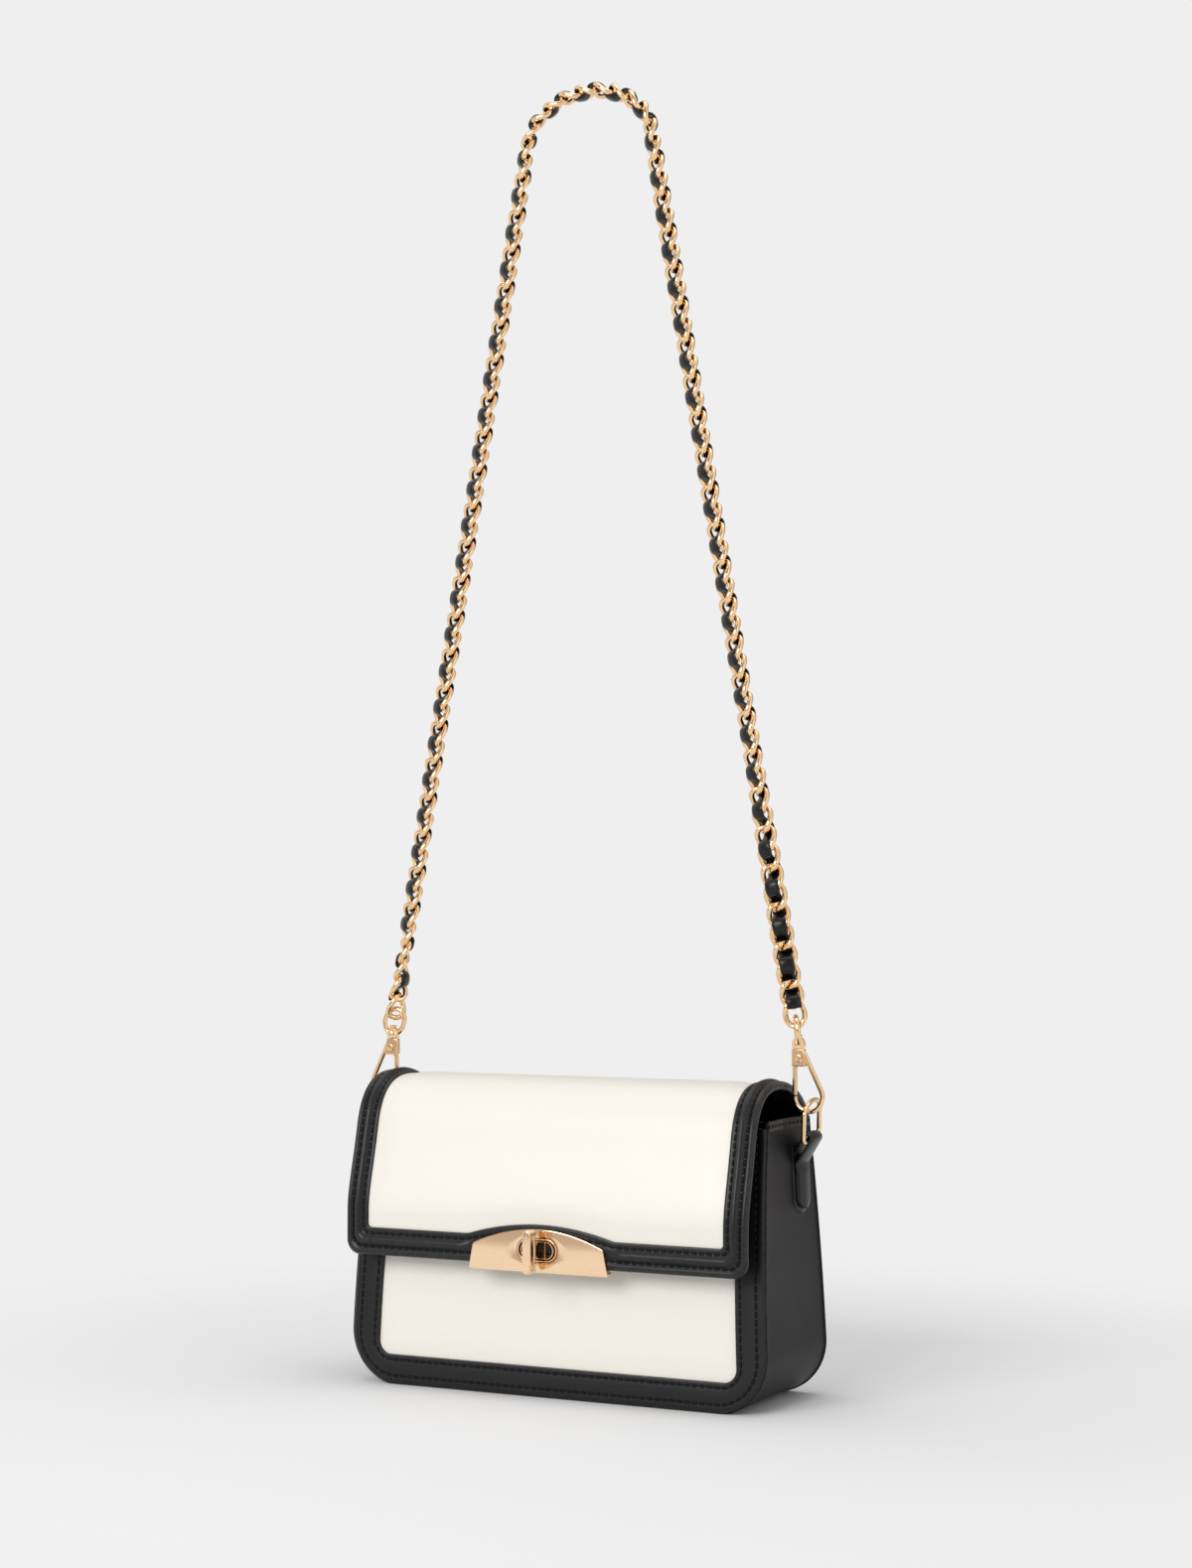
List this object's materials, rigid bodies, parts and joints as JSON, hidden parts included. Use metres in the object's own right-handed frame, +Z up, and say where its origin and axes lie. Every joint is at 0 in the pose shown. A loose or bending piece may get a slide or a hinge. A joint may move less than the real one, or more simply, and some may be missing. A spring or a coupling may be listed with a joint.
{
  "type": "crossbody bag",
  "caption": "Small structured flap bag with contrast borders, a turn lock, D rings, snap hooks and a leather-laced chain strap.",
  "frame": {"origin": "on the floor under the middle of the body's base, in the plane halfway between the front's and the back's foot", "axes": "+X along the bag's width, -Y out of its front, +Z up"},
  "size_m": [0.2676, 0.1055, 0.6878],
  "materials": {
    "cream_leather": "smooth, low sheen",
    "black_leather": "smooth, semi-gloss",
    "lace_leather": "polished",
    "black_lining": "matt woven",
    "grey_board": "matt pressed board",
    "light_gold": "polished light-gold plating",
    "spring_steel": "plain"
  },
  "bodies": {
    "bag": {"gusset": "black_leather", "front_board": "grey_board", "front_panel": "cream_leather", "front_border": "black_leather", "back_board": "grey_board", "back_panel": "cream_leather", "back_border": "black_leather", "base_board": "grey_board", "lining": "black_lining", "gusset_binding_left": "black_leather", "gusset_binding_right": "black_leather", "tab_left": "black_leather", "tab_right": "black_leather", "lock_keeper": "light_gold", "lock_washer": "light_gold"},
    "flap_top": {"flap_top_panel": "cream_leather", "flap_top_lining": "black_lining", "flap_top_border_left": "black_leather", "flap_top_border_right": "black_leather"},
    "flap_front": {"flap_front_panel": "cream_leather", "flap_front_lining": "black_lining", "flap_front_border": "black_leather", "lock_plate_front": "light_gold", "lock_plate_back": "light_gold", "lock_dial": "light_gold"},
    "toggle": {"lock_toggle": "light_gold"},
    "ring_left": {"d_ring_left": "light_gold"},
    "ring_right": {"d_ring_right": "light_gold"},
    "strap": {"chain_left": "light_gold", "chain_crown": "light_gold", "chain_right": "light_gold", "strap_lace": "lace_leather", "swivel_eye_left": "light_gold", "swivel_eye_right": "light_gold"},
    "hook_left": {"hook_left": "light_gold", "rivet_left": "light_gold", "gate_spring_left": "spring_steel"},
    "hook_right": {"hook_right": "light_gold", "rivet_right": "light_gold", "gate_spring_right": "spring_steel"},
    "gate_left": {"gate_left": "light_gold"},
    "gate_right": {"gate_right": "light_gold"}
  },
  "joints": [
    {"name": "flap_lift", "type": "hinge", "parent": "bag", "child": "flap_top", "pos_m": [0, 0.02837, 0.1383], "axis": [-1, 0, 0], "range_deg": [0, 25]},
    {"name": "flap_fold", "type": "hinge", "parent": "flap_top", "child": "flap_front", "pos_m": [0, -0.03789, 0.1498], "axis": [-1, 0, 0], "range_deg": [0, 150]},
    {"name": "toggle_turn", "type": "hinge", "parent": "flap_front", "child": "toggle", "pos_m": [0, -0.0504, 0.0769], "axis": [0, 1, 0], "range_deg": [0, 90]},
    {"name": "ring_left_tilt", "type": "hinge", "parent": "bag", "child": "ring_left", "pos_m": [-0.12212, 0.012, 0.1332], "axis": [0, -0.9781, -0.2079], "range_deg": [-5, 2]},
    {"name": "ring_right_tilt", "type": "hinge", "parent": "bag", "child": "ring_right", "pos_m": [0.12212, 0.012, 0.1332], "axis": [0, 0.9781, 0.2079], "range_deg": [-5, 2]},
    {"name": "strap_swing", "type": "hinge", "parent": "bag", "child": "strap", "pos_m": [0, 0.002, 0.14713], "axis": [-1, 0, 0], "range_deg": [-60, 90]},
    {"name": "swivel_left", "type": "hinge", "parent": "strap", "child": "hook_left", "pos_m": [-0.11977, 0.002, 0.17872], "axis": [0, 0, -1], "range_deg": [-3, 30]},
    {"name": "gate_left_open", "type": "hinge", "parent": "hook_left", "child": "gate_left", "pos_m": [-0.12057, 0.002, 0.17392], "axis": [0, -1, 0], "range_deg": [-25, 0], "stiffness_Nm_per_rad": 0.05, "springref_deg": 5.73},
    {"name": "swivel_right", "type": "hinge", "parent": "strap", "child": "hook_right", "pos_m": [0.11977, 0.002, 0.17872], "axis": [0, 0, 1], "range_deg": [-3, 30]},
    {"name": "gate_right_open", "type": "hinge", "parent": "hook_right", "child": "gate_right", "pos_m": [0.12057, 0.002, 0.17392], "axis": [0, 1, 0], "range_deg": [-25, 0], "stiffness_Nm_per_rad": 0.05, "springref_deg": 5.73}
  ]
}
